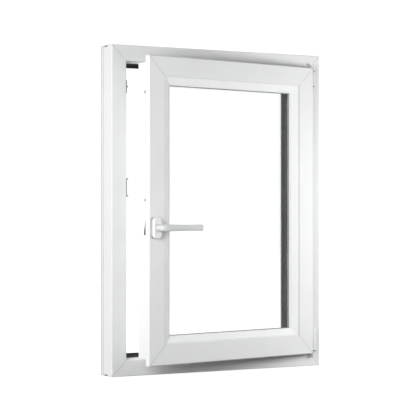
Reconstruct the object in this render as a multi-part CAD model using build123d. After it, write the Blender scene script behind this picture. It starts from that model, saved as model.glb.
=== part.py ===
from build123d import *
import math
import os

# A white plastic tilt-and-turn window: a mitred frame and one sash that opens into the room.
# X runs along the wall towards the hinges, Y from the room to the outside, and Z up.
# The origin is the middle of the frame's bottom face. Lengths are in millimetres.
# A section's points are (across, deep): across from the outer edge towards the glass,
# and deep from the room side towards the outside.

# Frame
FRAME_WIDTH = 840.0
FRAME_HEIGHT = 1135.0
FRAME_DEPTH = 92.0
FRAME_FACE = 55.0
LIP_HEIGHT = 18.0
LIP_THICKNESS = 26.0
LIP_SLOPE = 4.0
EDGE_RADIUS = 2.5
SEAL_STEP_HEIGHT = 5.0
SEAL_STEP_FRONT = 32.0
SEAL_STEP_WIDTH = 8.0
SEAL_STEP_SLOPE = 4.0
REBATE_DROP = 2.0

# Grooves in the frame's outer edge, each given by its distance from the room side
SIDE_GROOVE_FRONTS = (69.0, 83.0)
SIDE_GROOVE_WIDTH = 2.5
SIDE_GROOVE_DEPTH = 3.0

# Notches at the frame's four outer corners, where the weld is cleaned off
CORNER_NOTCH_FRONT = 34.0
CORNER_NOTCH_LENGTH = 28.0
CORNER_NOTCH_SIZE = 5.0

# Drainage slots in the sill: through the outside face, and in the rebate floor inside
DRAIN_LENGTH = 28.0
DRAIN_HEIGHT = 5.0
DRAIN_RISE = 30.0
DRAIN_DEPTH = 9.0
DRAIN_INSET = 150.0
WEEP_SETBACK = 8.0
WEEP_DEPTH = 6.0

# Sash
SWING_ANGLE = 10.3
SASH_DEPTH = 88.0
SASH_FACE = 69.0
OVERLAP = 8.0
OVERLAP_GAP = 4.0
FLANGE_THICKNESS = 22.0
FLANGE_WIDTH = 20.0
FLANGE_RADIUS = 4.0
HARDWARE_GROOVE_SETBACK = 5.0
HARDWARE_GROOVE_WIDTH = 16.0
HARDWARE_GROOVE_DEPTH = 9.0
GLASS_LIP_HEIGHT = 22.0
GLASS_LIP_SLOPE = 6.0
GLASS_LIP_EDGE = 4.0
JOINT_BEVEL = 1.0

# Beads and glazing
BEAD_WIDTH = 28.0
BEAD_SETBACK = 2.0
BEAD_FLAT = 7.0
BEAD_KNEE = 5.0
BEAD_EDGE = 13.0
BEAD_BACK = 26.0
GLAZING_GASKET_THICKNESS = 4.0
GLAZING_GASKET_WIDTH = 11.0
GLAZING_GASKET_SHOW = 2.0
GLAZING_GASKET_BEVEL = 1.2
PANE_THICKNESS = 4.0
PANE_SPACE = 16.0
PANE_EDGE_GAP = 5.0
SPACER_INSET = 4.0
SPACER_HEIGHT = 9.0

# Gaskets between frame and sash
GASKET_BASE = 1.2
GASKET_LIP_WIDTH = 1.6
GASKET_LEAN = 2.2
STOP_GASKET_WIDTH = 10.0
STOP_GASKET_HEIGHT = 3.6
CENTRE_GASKET_WIDTH = 6.0
CENTRE_GASKET_HEIGHT = 6.0
OVERLAP_GASKET_WIDTH = 6.0
OVERLAP_GASKET_HEIGHT = 3.6
OVERLAP_GASKET_INSET = 2.0

# Hinge axis and the hinge pieces
HINGE_SIDE = 10.5
HINGE_FRONT = 13.0
KNUCKLE_RADIUS = 7.0
KNUCKLE_GAP = 2.0
PIN_RADIUS = 3.0
UPPER_HINGE_TOP_DROP = 36.0
UPPER_BEARING_HEIGHT = 22.0
STAY_KNUCKLE_HEIGHT = 55.0
UPPER_PIN_CAP_HEIGHT = 22.0
UPPER_PIN_CAP_BEVEL = 2.0
BEARING_PLATE_THICKNESS = 4.0
BEARING_PLATE_WIDTH = 15.0
BEARING_PLATE_TAIL = 30.0
LOWER_BEARING_RISE = 37.0
LOWER_BEARING_HEIGHT = 19.0
LOWER_BEARING_WIDTH = 19.0
LOWER_CAP_HEIGHT = 82.0
LOWER_CAP_RADIUS = 10.0
LOWER_CAP_BEVEL = 4.0
LOWER_CAP_GAP = 2.2
BAND_THICKNESS = 2.6
BAND_HEIGHT = 70.0
STAY_ARM_LENGTH = 420.0
STAY_ARM_WIDTH = 13.0
STAY_ARM_THICKNESS = 3.5
STAY_ARM_LIFT = 4.0
STAY_TAB_THICKNESS = 3.0
STAY_RIVET_RADIUS = 4.0

# Locking hardware in the groove round the sash's edge
FACEPLATE_THICKNESS = 2.5
FACEPLATE_INSET = 60.0
CORNER_DRIVE_LEG = 120.0
BOTTOM_FACEPLATE_LENGTH = 260.0
ROD_WIDTH = 11.0
ROD_THICKNESS = 3.0
ROD_GAP = 0.4
ROD_END_INSET = 52.0
TILT_ROD_LENGTH = 250.0
CAM_STEM_RADIUS = 3.5
CAM_HEAD_RADIUS = 6.0
CAM_HEAD_THICKNESS = 4.0
CAM_STANDOFF = 5.0
CAM_TRAVEL = 18.0
CAM_SLOT_GAP = 0.5
GEAR_CASE_HEIGHT = 58.0
GEAR_CASE_SETBACK = 1.5
GEAR_CASE_PROUD = 0.6
GEAR_CASE_DEPTH = 6.0
LIFTER_ABOVE_HANDLE = 33.0
LIFTER_BELOW_HANDLE = 25.0
LIFTER_DEPTH = 8.0
LIFTER_TOP_PROUD = 7.0
LIFTER_FOOT_PROUD = 10.0
LIFTER_FOOT_HEIGHT = 12.0

# Strikers on the frame
STRIKER_BASE_THICKNESS = 3.0
STRIKER_PROJECTION = 8.5
STRIKER_DEPTH = 14.0
STRIKER_FRONT = 2.5
STRIKER_LUG = 4.0
STRIKER_ROUND = 1.5
STRIKER_HOLE_RADIUS = 2.2
STRIKER_PEG_RADIUS = 3.0
MAIN_STRIKER_HEIGHT = 63.0
MAIN_STRIKER_ABOVE_HANDLE = 137.0
MAIN_CAM_DROP = 44.0
UPPER_STRIKER_HEIGHT = 44.0
UPPER_STRIKER_TOP_DROP = 142.0
UPPER_CAM_DROP = 27.0
SILL_STRIKER_INSET = 190.0

# Handle
HANDLE_RISE = 510.0
HANDLE_BACKSET = 24.0
ROSETTE_WIDTH = 36.0
ROSETTE_HEIGHT = 74.0
ROSETTE_THICKNESS = 20.0
ROSETTE_CORNER = 15.0
ROSETTE_BEVEL = 3.5
NECK_RADIUS = 9.5
NECK_GAP = 0.4
LEVER_LENGTH = 165.0
LEVER_STANDOFF = 60.0
LEVER_THICKNESS = 12.0
LEVER_TIP_THICKNESS = 8.0
LEVER_HEIGHT = 25.0
LEVER_TIP_HEIGHT = 22.0
ELBOW_RADIUS = 17.0
LEVER_EDGE = 2.0
SPINDLE_SIZE = 7.0
SPINDLE_DEPTH = 17.0
SPINDLE_HOLE_RADIUS = 5.2
SPINDLE_END_GAP = 1.0

# Worked out from the sizes above
SASH_INSET = FRAME_FACE - OVERLAP
SASH_WIDTH = FRAME_WIDTH - 2 * SASH_INSET
SASH_HEIGHT = FRAME_HEIGHT - 2 * SASH_INSET
FRAME_FRONT = -FRAME_DEPTH / 2
SASH_FRONT = FRAME_FRONT - FLANGE_THICKNESS - OVERLAP_GAP
REBATE_DEPTH = FRAME_DEPTH - LIP_THICKNESS
PANE_FRONT = BEAD_BACK + GLAZING_GASKET_THICKNESS
UNIT_THICKNESS = 3 * PANE_THICKNESS + 2 * PANE_SPACE
UNIT_BACK = PANE_FRONT + UNIT_THICKNESS
GLASS_LIP_FRONT = UNIT_BACK + GLAZING_GASKET_THICKNESS
GLASS_LIP_TOP = SASH_FACE + GLASS_LIP_HEIGHT
PANE_INSET = SASH_FACE + PANE_EDGE_GAP
SIGHT_EDGE = SASH_FACE + BEAD_WIDTH
GROOVE_FRONT = FLANGE_THICKNESS + HARDWARE_GROOVE_SETBACK
GROOVE_BACK = GROOVE_FRONT + HARDWARE_GROOVE_WIDTH
GROOVE_MIDDLE = (GROOVE_FRONT + GROOVE_BACK) / 2
ROD_TOP = FLANGE_WIDTH + FACEPLATE_THICKNESS + ROD_GAP
HINGE_X = SASH_WIDTH / 2 + HINGE_SIDE
HINGE_Y = FRAME_FRONT - HINGE_FRONT
MAIN_STRIKER_RISE = HANDLE_RISE + MAIN_STRIKER_ABOVE_HANDLE
UPPER_STRIKER_RISE = FRAME_HEIGHT - UPPER_STRIKER_TOP_DROP
CUT_REACH = 2 * max(FRAME_WIDTH, FRAME_HEIGHT)
STAND = (Align.CENTER, Align.CENTER, Align.MIN)


def outline(corners):
    """Closed wire through (across, deep, radius) corners; a radius above zero rounds that corner."""
    edges = []
    ends = []
    count = len(corners)
    for i, (across, deep, radius) in enumerate(corners):
        here = Vector(0, deep, across)
        before = Vector(0, corners[i - 1][1], corners[i - 1][0])
        after = Vector(0, corners[(i + 1) % count][1], corners[(i + 1) % count][0])
        if radius <= 0:
            ends.append((here, None, here))
            continue
        back = (before - here).normalized()
        onward = (after - here).normalized()
        half = math.radians(back.get_angle(onward)) / 2
        run = radius / math.tan(half)
        middle = here + (back + onward).normalized() * (radius / math.sin(half) - radius)
        ends.append((here + back * run, middle, here + onward * run))
    for i, (start, middle, end) in enumerate(ends):
        if middle is not None:
            edges.append(ThreePointArc(start, middle, end).edge())
        edges.append(Edge.make_line(end, ends[(i + 1) % count][0]))
    return Wire(edges)


def bar(corners, length):
    """Straight bar of the given section, along X and centred on it."""
    face = Face(outline(corners))
    return Pos(-length / 2, 0, 0) * extrude(face, length, dir=(1, 0, 0))


def mitred_bar(corners, length):
    """Bar whose two ends are cut back at 45 degrees for a welded corner."""
    height = max(across for across, deep, radius in corners) + 1
    blank = Polyline((-length / 2, 0, 0), (length / 2, 0, 0), (length / 2 - height, 0, height),
                     (-length / 2 + height, 0, height), close=True)
    wedge = extrude(make_face(blank), CUT_REACH, dir=(0, 1, 0), both=True)
    return bar(corners, length) & wedge


def place_side(side, width, height):
    """Moves a bar that lies along the bottom to one side of a width by height rectangle."""
    places = {
        "bottom": Pos(0, 0, 0),
        "top": Pos(0, 0, height) * Rot(0, 180, 0),
        "left": Pos(-width / 2, 0, height / 2) * Rot(0, 90, 0),
        "right": Pos(width / 2, 0, height / 2) * Rot(0, -90, 0),
    }
    return places[side]


def side_bar(corners, width, height, side):
    """Mitred member of a rectangle, on the named side."""
    length = width if side in ("bottom", "top") else height
    return place_side(side, width, height) * mitred_bar(corners, length)


def ring(corners, width, height):
    """All four mitred members of a rectangle, joined."""
    sides = [side_bar(corners, width, height, side) for side in ("bottom", "right", "top", "left")]
    return sides[0] + sides[1] + sides[2] + sides[3]


def strip(low, high, front, back):
    """Corners of a plain rectangular section."""
    return [(low, front, 0), (high, front, 0), (high, back, 0), (low, back, 0)]


def box_between(low, high):
    """Box from its low corner to its high corner."""
    size = [b - a for a, b in zip(low, high)]
    return Pos(*low) * Box(*size, align=(Align.MIN, Align.MIN, Align.MIN))


def on_frame(part):
    """Moves a part whose room side is at Y = 0 onto the frame."""
    return Pos(0, FRAME_FRONT, 0) * part


def swing(part):
    """Swings a part of the closed window open about the hinges."""
    return part.rotate(Axis((HINGE_X, HINGE_Y, 0), (0, 0, 1)), SWING_ANGLE)


def hang(part):
    """Puts a part of the closed sash in its place and swings it open."""
    return swing(Pos(0, SASH_FRONT, SASH_INSET) * part)


def frame_section():
    """Frame profile: face, rebate with the centre seal step, outside lip, and grooved outer edge."""
    lip = FRAME_FACE + LIP_HEIGHT
    floor = FRAME_FACE - REBATE_DROP
    step = FRAME_FACE + SEAL_STEP_HEIGHT
    step_back = SEAL_STEP_FRONT + SEAL_STEP_WIDTH
    corners = [
        (0, 0, EDGE_RADIUS),
        (FRAME_FACE, 0, EDGE_RADIUS),
        (FRAME_FACE, SEAL_STEP_FRONT - SEAL_STEP_SLOPE, 0),
        (step, SEAL_STEP_FRONT, 0),
        (step, step_back, 0),
        (floor, step_back + SEAL_STEP_SLOPE, 0),
        (floor, REBATE_DEPTH, 0),
        (lip, REBATE_DEPTH, 0),
        (lip, REBATE_DEPTH + LIP_SLOPE, 0),
        (lip - LIP_SLOPE, FRAME_DEPTH, EDGE_RADIUS),
        (0, FRAME_DEPTH, EDGE_RADIUS),
    ]
    for front in reversed(SIDE_GROOVE_FRONTS):
        back = front + SIDE_GROOVE_WIDTH
        corners += [(0, back, 0), (SIDE_GROOVE_DEPTH, back, 0), (SIDE_GROOVE_DEPTH, front, 0), (0, front, 0)]
    return corners


def corner_notches():
    """Blocks that are cut from the frame's four outer corners."""
    size = CORNER_NOTCH_SIZE
    back = CORNER_NOTCH_FRONT + CORNER_NOTCH_LENGTH
    blocks = []
    for x in (-FRAME_WIDTH / 2, FRAME_WIDTH / 2):
        for z in (0, FRAME_HEIGHT):
            blocks.append(box_between((x - size, CORNER_NOTCH_FRONT, z - size), (x + size, back, z + size)))
    return blocks


def sash_section():
    """Sash profile: overlap flange, hardware groove, body, and the fixed lip outside the glass."""
    groove_floor = FLANGE_WIDTH + HARDWARE_GROOVE_DEPTH
    return [
        (0, 0, FLANGE_RADIUS),
        (SASH_FACE - JOINT_BEVEL, 0, 0),
        (SASH_FACE, JOINT_BEVEL, 0),
        (SASH_FACE, GLASS_LIP_FRONT, 0),
        (GLASS_LIP_TOP, GLASS_LIP_FRONT, 0),
        (GLASS_LIP_TOP, GLASS_LIP_FRONT + GLASS_LIP_EDGE, 0),
        (GLASS_LIP_TOP - GLASS_LIP_SLOPE, SASH_DEPTH, EDGE_RADIUS),
        (FLANGE_WIDTH, SASH_DEPTH, EDGE_RADIUS),
        (FLANGE_WIDTH, GROOVE_BACK, 0),
        (groove_floor, GROOVE_BACK, 0),
        (groove_floor, GROOVE_FRONT, 0),
        (FLANGE_WIDTH, GROOVE_FRONT, 0),
        (FLANGE_WIDTH, FLANGE_THICKNESS, 0),
        (0, FLANGE_THICKNESS, EDGE_RADIUS),
    ]


def bead_section():
    """Glazing bead: bevelled at the joint, a narrow flat, then a long fall to the glass."""
    return [
        (SASH_FACE, BEAD_SETBACK + JOINT_BEVEL, 0),
        (SASH_FACE + JOINT_BEVEL, BEAD_SETBACK, 0),
        (SASH_FACE + BEAD_FLAT, BEAD_SETBACK, BEAD_KNEE),
        (SIGHT_EDGE, BEAD_BACK - BEAD_EDGE, EDGE_RADIUS),
        (SIGHT_EDGE, BEAD_BACK, 0),
        (SASH_FACE, BEAD_BACK, 0),
    ]


def slot_cutter(depth):
    """Round-ended drainage slot along X, cut both ways through the plane Y = 0."""
    slot = SlotCenterToCenter(DRAIN_LENGTH - DRAIN_HEIGHT, DRAIN_HEIGHT)
    return extrude(Plane.XZ * slot, depth, both=True)


def drain_slots():
    """Slots in the sill's outside face, and weep slots beside the lip in its rebate floor."""
    floor = FRAME_FACE - REBATE_DROP
    cuts = []
    for x in (-FRAME_WIDTH / 2 + DRAIN_INSET, FRAME_WIDTH / 2 - DRAIN_INSET):
        cuts.append(Pos(x, FRAME_DEPTH, DRAIN_RISE) * slot_cutter(DRAIN_DEPTH))
        weep = Rot(90, 0, 0) * slot_cutter(WEEP_DEPTH)
        cuts.append(Pos(x, REBATE_DEPTH - WEEP_SETBACK, floor) * weep)
    return cuts


def frame_members():
    """Head, sill and the two jambs of the frame."""
    names = {"bottom": "frame_sill", "top": "frame_head",
             "left": "frame_lock_jamb", "right": "frame_hinge_jamb"}
    members = {}
    for side, name in names.items():
        member = side_bar(frame_section(), FRAME_WIDTH, FRAME_HEIGHT, side)
        cuts = corner_notches()
        if side == "bottom":
            cuts += drain_slots()
        for cut in cuts:
            member -= cut
        members[name] = on_frame(member)
    return members


def handle_place():
    """Where the handle's spindle meets the closed sash's face."""
    return Pos(-SASH_WIDTH / 2 + HANDLE_BACKSET, 0, HANDLE_RISE - SASH_INSET)


def sash_members():
    """Rails and stiles of the sash; the lock stile has the spindle's hole and the gear case's recess."""
    names = {"bottom": "sash_bottom_rail", "top": "sash_top_rail",
             "left": "sash_lock_stile", "right": "sash_hinge_stile"}
    members = {}
    for side, name in names.items():
        member = side_bar(sash_section(), SASH_WIDTH, SASH_HEIGHT, side)
        if side == "left":
            hole = Cylinder(SPINDLE_HOLE_RADIUS, 2 * (SPINDLE_DEPTH + SPINDLE_END_GAP))
            member -= handle_place() * Rot(90, 0, 0) * hole
            member -= gear_case_block(0)
        members[name] = hang(member)
    return members


def glazing():
    """Beads, three panes, two spacer frames and the two glazing gaskets."""
    parts = {}
    for side in ("bottom", "top", "left", "right"):
        name = {"left": "bead_lock_side", "right": "bead_hinge_side"}.get(side, "bead_" + side)
        parts[name] = hang(side_bar(bead_section(), SASH_WIDTH, SASH_HEIGHT, side))
    low = (-SASH_WIDTH / 2 + PANE_INSET, 0, PANE_INSET)
    high = (SASH_WIDTH / 2 - PANE_INSET, PANE_THICKNESS, SASH_HEIGHT - PANE_INSET)
    step = PANE_THICKNESS + PANE_SPACE
    for i, name in enumerate(("pane_inner", "pane_middle", "pane_outer")):
        parts[name] = hang(Pos(0, PANE_FRONT + i * step, 0) * box_between(low, high))
    edge = PANE_INSET + SPACER_INSET
    for i, name in enumerate(("spacer_inner", "spacer_outer")):
        front = PANE_FRONT + PANE_THICKNESS + i * step
        section = strip(edge, edge + SPACER_HEIGHT, front, front + PANE_SPACE)
        parts[name] = hang(ring(section, SASH_WIDTH, SASH_HEIGHT))
    inner = glazing_gasket(SIGHT_EDGE, BEAD_BACK, PANE_FRONT)
    outer = glazing_gasket(GLASS_LIP_TOP, GLASS_LIP_FRONT, UNIT_BACK)
    parts["glazing_gasket_inner"] = hang(ring(inner, SASH_WIDTH, SASH_HEIGHT))
    parts["glazing_gasket_outer"] = hang(ring(outer, SASH_WIDTH, SASH_HEIGHT))
    return parts


def glazing_gasket(edge, seat, glass):
    """Section of a glazing gasket between its seat and the glass, bevelled where it shows."""
    high = edge + GLAZING_GASKET_SHOW
    bevel = math.copysign(GLAZING_GASKET_BEVEL, glass - seat)
    return [
        (high - GLAZING_GASKET_WIDTH, seat, 0),
        (high - GLAZING_GASKET_BEVEL, seat, 0),
        (high, seat + bevel, 0),
        (high, glass, 0),
        (high - GLAZING_GASKET_WIDTH, glass, 0),
    ]


def lip_gasket(low, width, height):
    """Section of a gasket with a flat base and a leaning lip: (along the seat, off the seat)."""
    root = low + width - GASKET_LIP_WIDTH
    return [
        (low, 0),
        (low + width, 0),
        (low + width, GASKET_BASE),
        (root + GASKET_LIP_WIDTH - GASKET_LEAN, height),
        (root - GASKET_LEAN, height),
        (root - GASKET_LIP_WIDTH, GASKET_BASE),
        (low, GASKET_BASE),
    ]


def seals():
    """The three gaskets that the closed sash is pressed against."""
    lip = FRAME_FACE + LIP_HEIGHT
    stop = [(along, REBATE_DEPTH - off, 0)
            for along, off in lip_gasket(lip - STOP_GASKET_WIDTH, STOP_GASKET_WIDTH, STOP_GASKET_HEIGHT)]
    step = FRAME_FACE + SEAL_STEP_HEIGHT
    front = SEAL_STEP_FRONT + (SEAL_STEP_WIDTH - CENTRE_GASKET_WIDTH) / 2
    centre = [(step + off, along, 0)
              for along, off in lip_gasket(front, CENTRE_GASKET_WIDTH, CENTRE_GASKET_HEIGHT)]
    inset = OVERLAP_GASKET_INSET + EDGE_RADIUS
    overlap = [(along, FLANGE_THICKNESS + off, 0)
               for along, off in lip_gasket(inset, OVERLAP_GASKET_WIDTH, OVERLAP_GASKET_HEIGHT)]
    return {
        "stop_gasket": on_frame(ring(stop, FRAME_WIDTH, FRAME_HEIGHT)),
        "centre_gasket": on_frame(ring(centre, FRAME_WIDTH, FRAME_HEIGHT)),
        "overlap_gasket": hang(ring(overlap, SASH_WIDTH, SASH_HEIGHT)),
    }


def striker(length):
    """Striker on the rebate floor, along X: a plate with a lug at each end and two holes."""
    end = length / 2
    face = end - STRIKER_LUG
    corners = [
        (0, -end, 0),
        (STRIKER_PROJECTION, -end, STRIKER_ROUND),
        (STRIKER_PROJECTION, -face, STRIKER_ROUND),
        (STRIKER_BASE_THICKNESS, -face, STRIKER_ROUND),
        (STRIKER_BASE_THICKNESS, face, STRIKER_ROUND),
        (STRIKER_PROJECTION, face, STRIKER_ROUND),
        (STRIKER_PROJECTION, end, STRIKER_ROUND),
        (0, end, 0),
    ]
    body = Rot(0, 0, 90) * bar(corners, STRIKER_DEPTH)
    return striker_place() * drilled(body, length)


def peg_striker(length):
    """Striker on the rebate floor, along X: a plate with one peg in the middle and two holes."""
    plate = Box(length, STRIKER_DEPTH, STRIKER_BASE_THICKNESS, align=STAND)
    peg = Cylinder(STRIKER_PEG_RADIUS, STRIKER_PROJECTION, align=STAND)
    return striker_place() * (drilled(plate, length) + peg)


def striker_place():
    """Where a striker lies on a frame member along the bottom."""
    return Pos(0, STRIKER_FRONT + STRIKER_DEPTH / 2, FRAME_FACE)


def drilled(body, length):
    """A striker's plate with its two screw holes."""
    for x in (-length / 4, length / 4):
        body -= Pos(x, 0, 0) * Cylinder(STRIKER_HOLE_RADIUS, 2 * STRIKER_PROJECTION)
    return body


def strikers():
    """Two strikers on the lock jamb and the tilt striker on the sill."""
    turn = Pos(-FRAME_WIDTH / 2, 0, 0) * Rot(0, 90, 0)
    middle = Pos(0, 0, MAIN_STRIKER_RISE) * turn * striker(MAIN_STRIKER_HEIGHT)
    upper = Pos(0, 0, UPPER_STRIKER_RISE) * turn * peg_striker(UPPER_STRIKER_HEIGHT)
    tilt = Pos(-FRAME_WIDTH / 2 + SILL_STRIKER_INSET, 0, 0) * striker(MAIN_STRIKER_HEIGHT)
    return {
        "striker_main": on_frame(middle),
        "striker_upper": on_frame(upper),
        "striker_tilt": on_frame(tilt),
    }


def cam_rises():
    """Heights of the cams above the sash's bottom edge, a stroke below where they lock."""
    rises = (MAIN_STRIKER_RISE - MAIN_CAM_DROP, UPPER_STRIKER_RISE - UPPER_CAM_DROP)
    return [rise - SASH_INSET for rise in rises]


def tilt_cam_place():
    """Place of the tilt cam along the bottom rail, a stroke past where it locks."""
    return -FRAME_WIDTH / 2 + SILL_STRIKER_INSET + MAIN_CAM_DROP


def cam_slot():
    """Slot cutter for one cam, along X, through a faceplate that lies along the bottom."""
    slot = SlotCenterToCenter(2 * CAM_TRAVEL, 2 * (CAM_STEM_RADIUS + CAM_SLOT_GAP))
    return Pos(0, GROOVE_MIDDLE, FLANGE_WIDTH) * extrude(slot, FACEPLATE_THICKNESS + 1, both=True)


def upright(x, rise):
    """Turns a piece made for the bottom rail's edge onto the lock stile's edge, at a height."""
    return Pos(x, 0, rise) * Rot(0, 90, 0)


def faceplates():
    """Faceplates in the hardware groove and the two corner drives that join them."""
    section = strip(FLANGE_WIDTH, FLANGE_WIDTH + FACEPLATE_THICKNESS, GROOVE_FRONT, GROOVE_BACK)
    band = ring(section, SASH_WIDTH, SASH_HEIGHT)
    left = -SASH_WIDTH / 2
    for rise in cam_rises():
        band -= upright(left, rise) * cam_slot()
    band -= Pos(tilt_cam_place(), 0, 0) * cam_slot()
    leg = left + CORNER_DRIVE_LEG
    top = SASH_HEIGHT - CORNER_DRIVE_LEG
    middle = SASH_HEIGHT / 2
    spans = {
        "lock_faceplate": ((left, CORNER_DRIVE_LEG), (leg, top)),
        "corner_drive_top": ((left, top), (leg, SASH_HEIGHT)),
        "corner_drive_bottom": ((left, 0), (leg, CORNER_DRIVE_LEG)),
        "top_faceplate": ((leg, middle), (-left - FACEPLATE_INSET, SASH_HEIGHT)),
        "bottom_faceplate": ((leg, 0), (leg + BOTTOM_FACEPLATE_LENGTH, middle)),
    }
    parts = {}
    for name, (low, high) in spans.items():
        span = box_between((low[0], 0, low[1]), (high[0], SASH_DEPTH, high[1]))
        parts[name] = hang(band & span)
    return parts


def rod_bar(low, high, cams):
    """Drive rod for the bottom rail's edge, along X, with a mushroom cam at each given place."""
    front = GROOVE_MIDDLE - ROD_WIDTH / 2
    rod = box_between((low, front, ROD_TOP), (high, front + ROD_WIDTH, ROD_TOP + ROD_THICKNESS))
    out = FLANGE_WIDTH - CAM_STANDOFF - CAM_HEAD_THICKNESS
    for x in cams:
        stem = Cylinder(CAM_STEM_RADIUS, ROD_TOP - out, align=STAND)
        head = Cylinder(CAM_HEAD_RADIUS, CAM_HEAD_THICKNESS, align=STAND)
        rod += Pos(x, GROOVE_MIDDLE, out) * (stem + head)
    return rod


def drive_rods():
    """Sliding rods behind the faceplates, whose cams reach into the strikers of the closed window."""
    middle = SASH_HEIGHT / 2
    half = middle - ROD_END_INSET
    lock = rod_bar(-half, half, [middle - rise for rise in cam_rises()])
    start = -SASH_WIDTH / 2 + ROD_END_INSET
    tilt = rod_bar(start, start + TILT_ROD_LENGTH, [tilt_cam_place()])
    return {"drive_rod": hang(upright(-SASH_WIDTH / 2, middle) * lock), "tilt_rod": hang(tilt)}


def gear_case_block(proud):
    """The gear case's shoulder in front of the hardware groove, on the lock stile at handle height."""
    left = -SASH_WIDTH / 2 + FLANGE_WIDTH
    low = HANDLE_RISE - SASH_INSET - GEAR_CASE_HEIGHT / 2
    return box_between((left - proud, FLANGE_THICKNESS + GEAR_CASE_SETBACK, low),
                       (left + GEAR_CASE_DEPTH, GROOVE_FRONT, low + GEAR_CASE_HEIGHT))


def sash_lifter():
    """Wedge on the lock faceplate that lifts the closing sash, thickest at its foot."""
    left = -SASH_WIDTH / 2 + FLANGE_WIDTH
    high = HANDLE_RISE - SASH_INSET + LIFTER_ABOVE_HANDLE
    low = HANDLE_RISE - SASH_INSET - LIFTER_BELOW_HANDLE
    front = GROOVE_BACK - LIFTER_DEPTH
    foot = left - LIFTER_FOOT_PROUD
    side = Polyline((left, front, high), (left - LIFTER_TOP_PROUD, front, high),
                    (foot, front, low + LIFTER_FOOT_HEIGHT), (foot, front, low), (left, front, low),
                    close=True)
    return {"sash_lifter": hang(extrude(make_face(side), LIFTER_DEPTH, dir=(0, 1, 0)))}


def knuckle(low, high, radius):
    """Upright cylinder on the hinge axis, in the closed window's frame."""
    return Pos(HINGE_X, HINGE_Y, low) * Cylinder(radius, high - low, align=STAND)


def upper_hinge():
    """Bearing on the jamb, stay arm on the sash, and the pin with its cap between them."""
    top = FRAME_HEIGHT - UPPER_HINGE_TOP_DROP
    cap_low = top - UPPER_PIN_CAP_HEIGHT
    stay_low = cap_low - STAY_KNUCKLE_HEIGHT
    low = stay_low - UPPER_BEARING_HEIGHT
    high = stay_low - KNUCKLE_GAP
    pin = knuckle(low, cap_low, PIN_RADIUS)
    cap = knuckle(cap_low, top, KNUCKLE_RADIUS)
    cap = chamfer(cap.edges().sort_by(Axis.Z)[-1], UPPER_PIN_CAP_BEVEL)
    left = HINGE_X - BEARING_PLATE_WIDTH / 2
    plate = box_between((left, FRAME_FRONT - BEARING_PLATE_THICKNESS, low - BEARING_PLATE_TAIL),
                        (left + BEARING_PLATE_WIDTH, FRAME_FRONT, high))
    web = box_between((HINGE_X - PIN_RADIUS, HINGE_Y, low), (HINGE_X + PIN_RADIUS, FRAME_FRONT, high))
    bearing = knuckle(low, high, KNUCKLE_RADIUS) + plate + web - pin
    arm = stay_arm(stay_low, cap_low) - pin
    return {"upper_frame_bearing": bearing, "stay_arm": swing(arm), "upper_hinge_pin": pin + cap}


def stay_arm(low, high):
    """Stay arm: knuckle on the pin, tab in the gap beside the flange, and bar along the top rail."""
    tab_front = SASH_FRONT + FLANGE_THICKNESS + (OVERLAP_GAP - STAY_TAB_THICKNESS) / 2
    tab_back = tab_front + STAY_TAB_THICKNESS
    foot = SASH_INSET + SASH_HEIGHT - FLANGE_WIDTH
    bar_low = foot + STAY_ARM_LIFT
    bar_high = bar_low + STAY_ARM_THICKNESS
    edge = SASH_WIDTH / 2 - FLANGE_WIDTH
    near = edge - STAY_ARM_WIDTH
    far = edge - STAY_ARM_LENGTH
    middle = SASH_FRONT + GROOVE_MIDDLE
    half = STAY_ARM_WIDTH / 2
    arm = knuckle(low, high, KNUCKLE_RADIUS)
    arm += box_between((HINGE_X - PIN_RADIUS, HINGE_Y, low), (HINGE_X, tab_back, high))
    arm += box_between((edge + KNUCKLE_GAP, tab_front, low), (HINGE_X, tab_back, bar_high))
    arm += box_between((near, tab_front, bar_low), (edge + KNUCKLE_GAP, tab_back, bar_high))
    arm += box_between((near, tab_front, bar_low), (edge, middle, bar_high))
    arm += box_between((far, middle - half, bar_low), (edge, middle + half, bar_high))
    rivet = Cylinder(STAY_RIVET_RADIUS, bar_high - foot, align=STAND)
    return arm + Pos(far + STAY_ARM_WIDTH, middle, foot) * rivet


def lower_hinge():
    """Corner bearing on the frame, its pin, the band on the sash, and the moulded cap."""
    high = LOWER_BEARING_RISE + LOWER_BEARING_HEIGHT
    left = HINGE_X - KNUCKLE_RADIUS
    block = box_between((left, HINGE_Y, LOWER_BEARING_RISE), (left + LOWER_BEARING_WIDTH, FRAME_FRONT, high))
    cap_low = high + LOWER_CAP_GAP
    cap_high = cap_low + LOWER_CAP_HEIGHT
    pin = knuckle(LOWER_BEARING_RISE, cap_high - LOWER_CAP_RADIUS, PIN_RADIUS)
    bearing = knuckle(LOWER_BEARING_RISE, high, KNUCKLE_RADIUS) + block - pin
    cap = knuckle(cap_low, cap_high, LOWER_CAP_RADIUS)
    cap = chamfer(cap.edges().sort_by(Axis.Z)[-1], LOWER_CAP_BEVEL) - pin
    return {"lower_frame_bearing": bearing, "lower_hinge_pin": pin,
            "lower_sash_band": swing(sash_band(cap_low) - cap), "lower_hinge_cap": swing(cap)}


def sash_band(low):
    """Steel band behind the flange, from the sash's edge to the lower hinge's cap."""
    front = SASH_FRONT + FLANGE_THICKNESS + (OVERLAP_GAP - BAND_THICKNESS) / 2
    back = front + BAND_THICKNESS
    inside = SASH_WIDTH / 2 - FLANGE_WIDTH
    band = box_between((inside, front, low), (HINGE_X, back, low + BAND_HEIGHT))
    web_front = HINGE_Y + PIN_RADIUS
    return band + box_between((HINGE_X - PIN_RADIUS, web_front, low), (HINGE_X, back, low + BAND_HEIGHT))


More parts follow.
